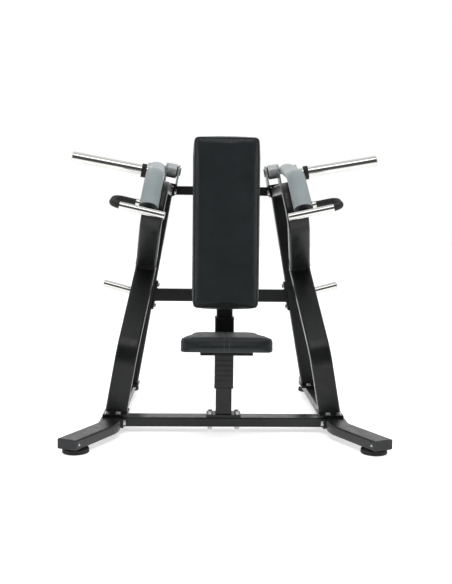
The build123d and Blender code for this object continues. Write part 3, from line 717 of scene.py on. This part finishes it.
# Handle loop: y, s up the leaning plane and a outward, for its front and its back.
LOOP_Y, LOOP_BACK_Y = -0.440, -0.332
LOOP_S, LOOP_BACK_S = 0.982, 1.010
LOOP_A, LOOP_ROOT_A, LOOP_INNER_A = 0.160, 0.040, -0.058
LOOP_RISE = math.tan(math.radians(2.5))
LOOP_R = 34 * MM
GRIP_R, BAR_R, CORE_R, RING_R = 14.5 * MM, 15.5 * MM, 12 * MM, 16 * MM
ROOT_TO_GRIP = 31 * MM
RIB_PITCH, RIB_H, FLANGE_H = 4, 0.45 * MM, 0.9 * MM   # the pitch is in steps of the grip's path


def loop_corner(side, y, s, a):
    """Corner of the handle loop, raised with its distance outward."""
    return in_lean(side, y, s + (a - LOOP_A / 2) * LOOP_RISE, a)


def arc_path(corners, radius, spacing):
    """Polyline with its corners turned into true arcs."""
    steps = 16
    result = [corners[0]]
    for before, corner, after in zip(corners, corners[1:], corners[2:]):
        into, out = (before - corner).normalized(), (after - corner).normalized()
        half = into.angle(out) / 2
        reach = radius / math.tan(half)
        centre = corner + (into + out).normalized() * (radius / math.sin(half))
        start, end = corner + into * reach, corner + out * reach
        for k in range(steps + 1):
            spoke = (start - centre).slerp(end - centre, k / steps).normalized()
            result.append(centre + spoke * radius)
    result.append(corners[-1])
    return resample(result, spacing, closed=False)


def ribbed_grip(side):
    """Rubber grip with shallow ribs and end flanges, following the handle's bend."""
    root = loop_corner(side, LOOP_BACK_Y, LOOP_BACK_S, LOOP_ROOT_A)
    outer_back = loop_corner(side, LOOP_BACK_Y, LOOP_BACK_S, LOOP_A)
    outer_front = loop_corner(side, LOOP_Y, LOOP_S, LOOP_A)
    inward = (root - outer_back).normalized()
    start = root - inward * ROOT_TO_GRIP
    inner = loop_corner(side, LOOP_Y, LOOP_S, LOOP_INNER_A)
    along_bar = (inner - outer_front).normalized()
    turn = (outer_back - outer_front).angle(along_bar)
    end = outer_front + along_bar * (LOOP_R / math.tan(turn / 2) + 0.2 * MM)
    path = arc_path([start, outer_back, outer_front, end], LOOP_R, 1.5 * MM)
    radii = []
    for i in range(len(path)):
        rib = RIB_H * (0.5 + 0.5 * math.cos(i * 2 * math.pi / RIB_PITCH))
        flange = FLANGE_H if min(i, len(path) - 1 - i) < 3 else 0.0
        radii.append(GRIP_R - FLANGE_H + rib + flange)
    grip = tube_along(f"ribbed_grip_{side}", path, radii, closed=False, sides=28)
    finish_piece(grip, f"{side}_arm", RUBBER)
    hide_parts(f"handle_grip_{side}")
    width = 3.4 * MM
    profile = rounded([(0, CORE_R), (0, RING_R), (width, RING_R), (width, CORE_R)], 1.2 * MM)
    ring = lathe(f"grip_ring_{side}", start + inward * 3.6 * MM, -inward, profile, 40)
    finish_piece(ring, f"{side}_arm", CHROME)


def handle_end(side):
    """Domed chrome cap with a socket on the inner end of the front bar."""
    inner = loop_corner(side, LOOP_Y, LOOP_S, LOOP_INNER_A)
    outer = loop_corner(side, LOOP_Y, LOOP_S, LOOP_A)
    inward = (inner - outer).normalized()
    crown, socket, floor = 7.5 * MM, 5.4 * MM, 4.4 * MM
    depth = 1.6 * MM
    rim = BAR_R + 0.3 * MM
    profile = rounded([(-0.5 * MM, BAR_R), (0, rim), (crown, rim), (crown, socket)], 3.2 * MM, 8)
    profile += [(crown - depth, floor), (crown - depth, 0)]
    cap = lathe(f"handle_end_{side}", inner, inward, profile, 40)
    finish_piece(cap, f"{side}_arm", CHROME)


for side in SIDES:
    horn_details(side)
    ribbed_grip(side)
    handle_end(side)
    for end in ("front", "rear"):
        rubber_foot(f"{end}_foot_{side}")


# ---------------------------------------------------------------- welds
KINK_Y, KINK_S = 0.064, 0.716     # where the front leg bends, in the leaning plane
KINK_RUN, KINK_RISE = -0.080, 0.997
ARCH_END_Y = 0.0195               # where the upper arch meets the top tube
REAR_Y, REAR_TOP_S = 0.425, 1.080
LEAN_SLOPE = 0.1763               # tangent of the side frames' lean
ABOVE_FOOT = Vector((0, 0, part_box("foot_plates")[1].z + 1.2 * MM))


def frame_welds(side):
    """Beads along one side frame."""
    up = side_axes(side)[2]
    leg, arch, upright = f"front_leg_{side}", f"upper_arch_{side}", f"rear_upright_{side}"
    kink = in_lean(side, KINK_Y, KINK_S, 0) - up * 0.6 * MM
    kink_normal = (Vector((0, KINK_RUN, 0)) + up * KINK_RISE).normalized()
    upright_top = in_lean(side, REAR_Y, REAR_TOP_S, 0) - up * 1.2 * MM
    weld(f"weld_leg_foot_{side}", leg, ABOVE_FOOT, LEVEL)
    weld(f"weld_rear_foot_{side}", upright, ABOVE_FOOT, LEVEL)
    weld(f"weld_kink_{side}", leg, kink, kink_normal, 2.2 * MM)
    weld(f"weld_top_{side}", arch, Vector((0, ARCH_END_Y, 0)), FORE_AFT, 2.0 * MM)
    weld(f"weld_rear_top_{side}", upright, upright_top, up)


def beam_weld(name, side):
    """Bead round one end of a crossbeam: the base one meets a rail, the others leaning tubes."""
    low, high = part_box(name)
    sign = SIDES[side]
    height = high.z - low.z
    normal, slope = side_axes(side)[1], LEAN_SLOPE
    if name == "base_crossbeam":
        normal, slope = Vector((sign, 0, 0)), 0
    reach = high.x - 1.5 * MM - height * slope
    middle = Vector((sign * (reach + height * 0.5 * slope), 0, (low.z + high.z) / 2))
    weld(f"weld_{name}_{side}", name, middle, normal, 2.2 * MM)


for side in SIDES:
    frame_welds(side)
weld("weld_post_foot", "seat_post", ABOVE_FOOT, LEVEL)
for name in ("lower_brace", "upper_brace"):
    weld(f"weld_{name}", name, Vector((0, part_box(name)[0].y + 1 * MM, 0)), FORE_AFT)
for name in ("base_crossbeam", "lower_crossbeam", "upper_crossbeam"):
    for side in SIDES:
        beam_weld(name, side)


# ---------------------------------------------------------------- small hardware
RAIL_SPLAY = (133, -272)          # direction of a rail's splayed front end, across and forward
RAIL_TIP = (0.627, -0.672)        # middle of its end face
SCREW_SETBACK, RAIL_HALF_W = 14, 45   # mm


def rail_screws(side):
    """Screw that holds the plastic cap into the rail's front end."""
    sign = SIDES[side]
    low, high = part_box(f"base_rail_{side}")
    axis = Vector((sign * RAIL_SPLAY[0], RAIL_SPLAY[1], 0)).normalized()
    inward = Vector((-sign * abs(axis.y), -abs(axis.x), 0)).normalized()
    tip = Vector((sign * RAIL_TIP[0], RAIL_TIP[1], (low.z + high.z) / 2))
    seat = tip - axis * SCREW_SETBACK * MM + inward * RAIL_HALF_W * MM
    button_screw(f"rail_screw_{side}", seat, inward, 5 * MM, "frame")


def sleeve_collars():
    """Plastic lips of the slide bushes, top and bottom of the seat sleeve."""
    low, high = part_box("seat_sleeve")
    post_low, post_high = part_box("seat_post")
    half = (post_high.y - post_low.y) / 2 + 0.6 * MM
    outer = half + 7 * MM
    edge, lip = 2.6 * MM, 3.5 * MM
    centre_y = (post_low.y + post_high.y) / 2
    section = ((outer, 9 * MM, 0), (outer, 9 * MM, edge), (outer - 1.5 * MM, 8 * MM, lip),
               (half, 5 * MM, lip), (half, 5 * MM, 0))
    for tag, z in (("top", high.z), ("bottom", low.z - lip)):
        bm = bmesh.new()
        loops = []
        for size, corner, height in section:
            square = [(-size, -size), (size, -size), (size, size), (-size, size)]
            loops.append([bm.verts.new((x, y + centre_y, z + height))
                          for x, y in rounded_outline(square, corner, 5)])
        for a, b in zip(loops, loops[1:] + loops[:1]):
            for i in range(len(a)):
                j = (i + 1) % len(a)
                bm.faces.new((a[i], a[j], b[j], b[i]))
        finish_piece(from_bmesh(f"sleeve_lip_{tag}", bm), "seat_carriage", PLASTIC,
                     smooth=False)


for side in SIDES:
    rail_screws(side)
sleeve_collars()


# ---------------------------------------------------------------- studio
FLOOR_SIZE, FLOOR_MIDDLE_Y = 40, 6
FLOOR_FADE = (-3.6, -2.1)         # the white floor darkens between these in front of the machine
FLOOR_DARK, FLOOR_PALE = (0.12, 0.12, 0.12), (0.86, 0.86, 0.86)
ROOM_LEVEL, ROOM_BACK, ROOM_UP = 0.45, 0.9, 0.3   # the room's light, and how it grows back and up
ROOM_DARK, ROOM_PALE = (0.10, 0.10, 0.105, 1), (1.0, 1.0, 1.0, 1)


def studio_floor():
    """Pale glowing floor that fades to grey behind the camera."""
    bpy.ops.mesh.primitive_plane_add(size=FLOOR_SIZE, location=(0, FLOOR_MIDDLE_Y, 0))
    floor = bpy.context.object
    floor.name = "studio_floor"
    pale = Shader("studio_floor", FLOOR_PALE, 0.6, Emission_Color=(1.0, 1.0, 1.0, 1.0))
    parts = pale.add("ShaderNodeSeparateXYZ")
    pale.link(pale.coords, parts.inputs[0])
    fade = pale.remap(parts.outputs["Y"], 0.0, 1.0, FLOOR_FADE[0] - FLOOR_MIDDLE_Y,
                      FLOOR_FADE[1] - FLOOR_MIDDLE_Y)
    pale.color(fade, FLOOR_DARK, FLOOR_PALE)
    pale.link(pale.remap(fade, 0.02, 0.6, 0.0, 1.0), pale.bsdf.inputs["Emission Strength"])
    floor.data.materials.append(pale.material)


def studio_world():
    """Soft room light, white behind the machine and dark behind the camera."""
    world = bpy.data.worlds.new("studio")
    bpy.context.scene.world = world
    world.use_nodes = True
    nodes, links = world.node_tree.nodes, world.node_tree.links
    coords = nodes.new("ShaderNodeTexCoord")
    parts = nodes.new("ShaderNodeSeparateXYZ")
    ramp = nodes.new("ShaderNodeValToRGB")
    links.new(coords.outputs["Generated"], parts.inputs[0])
    total = None
    for output, growth in (("Y", ROOM_BACK), ("Z", ROOM_UP)):
        step = nodes.new("ShaderNodeMath")
        step.operation = "MULTIPLY_ADD"
        step.inputs[1].default_value = growth
        step.inputs[2].default_value = ROOM_LEVEL
        links.new(parts.outputs[output], step.inputs[0])
        if total:
            links.new(total, step.inputs[2])
        total = step.outputs[0]
    links.new(total, ramp.inputs["Fac"])
    for element, position, shade in zip(ramp.color_ramp.elements, (0.0, 1.0), (ROOM_DARK, ROOM_PALE)):
        element.position = position
        element.color = shade
    links.new(ramp.outputs["Color"], nodes["Background"].inputs["Color"])
    nodes["Background"].inputs["Strength"].default_value = 1.0


def softbox(name, at, target, size, power, tall=None):
    """Rectangular lamp aimed at a point, in watts."""
    light = bpy.data.lights.new(name, "AREA")
    light.shape = "RECTANGLE"
    light.size, light.size_y = size, tall or size
    light.energy = power
    lamp = bpy.data.objects.new(name, light)
    lamp.location = at
    lamp.rotation_euler = (Vector(target) - Vector(at)).to_track_quat("-Z", "Y").to_euler()
    bpy.context.scene.collection.objects.link(lamp)
    return lamp


def studio_lights():
    key = softbox("key_overhead", (0.2, -0.9, 3.8), (0, 0, 0.6), 2.8, 52)
    key.visible_glossy = False                # too near to show in the chrome
    softbox("left_panel", (-3.4, -1.6, 1.9), (0, 0, 0.8), 1.4, 22, 2.4)
    softbox("right_panel", (3.4, -1.6, 1.9), (0, 0, 0.8), 1.4, 20, 2.4)
    softbox("high_fill", (-0.4, -3.0, 5.0), (0, 0, 0.7), 2.4, 38)


def camera():
    """Camera in front of the machine and a little above it, with a slight turn and roll."""
    data = bpy.data.cameras.new("photo_camera")
    data.sensor_width = SENSOR
    data.lens = LENS
    data.clip_start, data.clip_end = 0.05, 100
    cam = bpy.data.objects.new("photo_camera", data)
    bpy.context.scene.collection.objects.link(cam)
    forward = Vector((math.sin(CAM_YAW) * math.cos(CAM_PITCH), math.cos(CAM_YAW) * math.cos(CAM_PITCH),
                      -math.sin(CAM_PITCH)))
    right = Vector((math.cos(CAM_YAW), -math.sin(CAM_YAW), 0))
    up = right.cross(forward)
    c, s = math.cos(CAM_ROLL), math.sin(CAM_ROLL)
    turned_right, turned_up = right * c - up * s, right * s + up * c
    turn = Matrix((turned_right, turned_up, -forward)).transposed().to_4x4()
    turn.translation = CAM_AT
    cam.matrix_world = turn
    bpy.context.scene.camera = cam


studio_floor()
studio_world()
studio_lights()
camera()
bpy.context.scene.view_settings.view_transform = "Standard"
